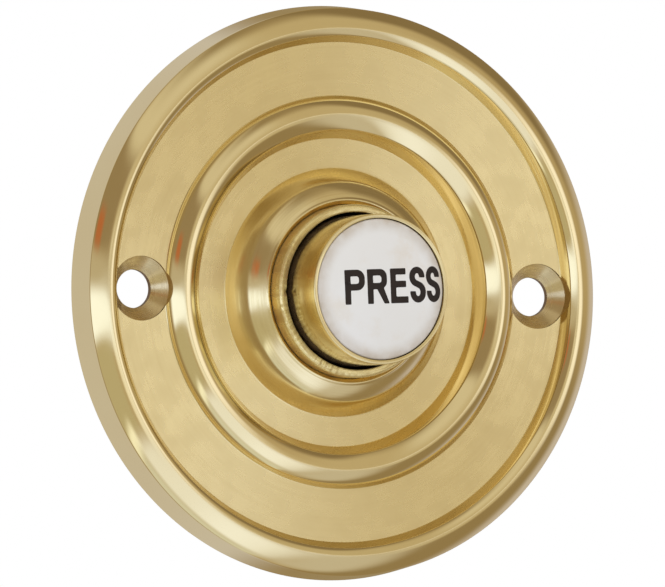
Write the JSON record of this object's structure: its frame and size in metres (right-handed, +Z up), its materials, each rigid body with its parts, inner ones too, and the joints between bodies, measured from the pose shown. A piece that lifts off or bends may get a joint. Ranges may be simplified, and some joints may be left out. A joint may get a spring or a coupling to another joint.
{
  "type": "doorbell push button",
  "caption": "Round moulded brass doorbell push with a white china button in a threaded barrel, for screwing to a door or wall.",
  "frame": {"origin": "on the wall plane, at the centre of the rose's back", "axes": "the front faces -Y, away from the wall, +Z is up and the screw holes lie on X"},
  "size_m": [0.076, 0.0329, 0.076],
  "materials": {
    "polished_brass": "cast and turned brass, beads polished, fields satin turned, clear lacquer",
    "machined_brass": "free-cutting brass, turned, unpolished",
    "china": "white glazed china with a fired black legend",
    "phosphor_bronze": "phosphor bronze sheet, as blanked",
    "zinc_steel": "steel, bright zinc plated",
    "spring_steel": "drawn spring wire, oiled",
    "phenolic": "black-brown moulded phenolic",
    "fibre": "red vulcanised fibre"
  },
  "bodies": {
    "rose": {"front_plate": "polished_brass", "barrel": "machined_brass", "lock_washer": "zinc_steel", "lock_nut": "machined_brass", "contact_block": "phenolic", "contact_stud_left": "machined_brass", "contact_stud_right": "machined_brass", "stud_nut_left": "machined_brass", "stud_nut_right": "machined_brass", "terminal_washer_left": "machined_brass", "terminal_washer_right": "machined_brass", "terminal_nut_left": "machined_brass", "terminal_nut_right": "machined_brass", "grub_screw_upper": "zinc_steel", "grub_screw_lower": "zinc_steel", "return_spring": "spring_steel"},
    "button": {"button_cup": "polished_brass", "china_disc": "china", "plunger_stem": "machined_brass", "front_insulator": "fibre", "bridge_disc": "phosphor_bronze", "insulating_bush": "fibre", "stop_washer": "zinc_steel", "retaining_clip": "spring_steel"}
  },
  "joints": [
    {"name": "button_press", "type": "slide", "parent": "rose", "child": "button", "axis": [0, 1, 0], "range_m": [0, 0.0025], "stiffness_N_per_m": 1200, "springref_m": -0.0016, "deforming": ["return_spring"]}
  ]
}
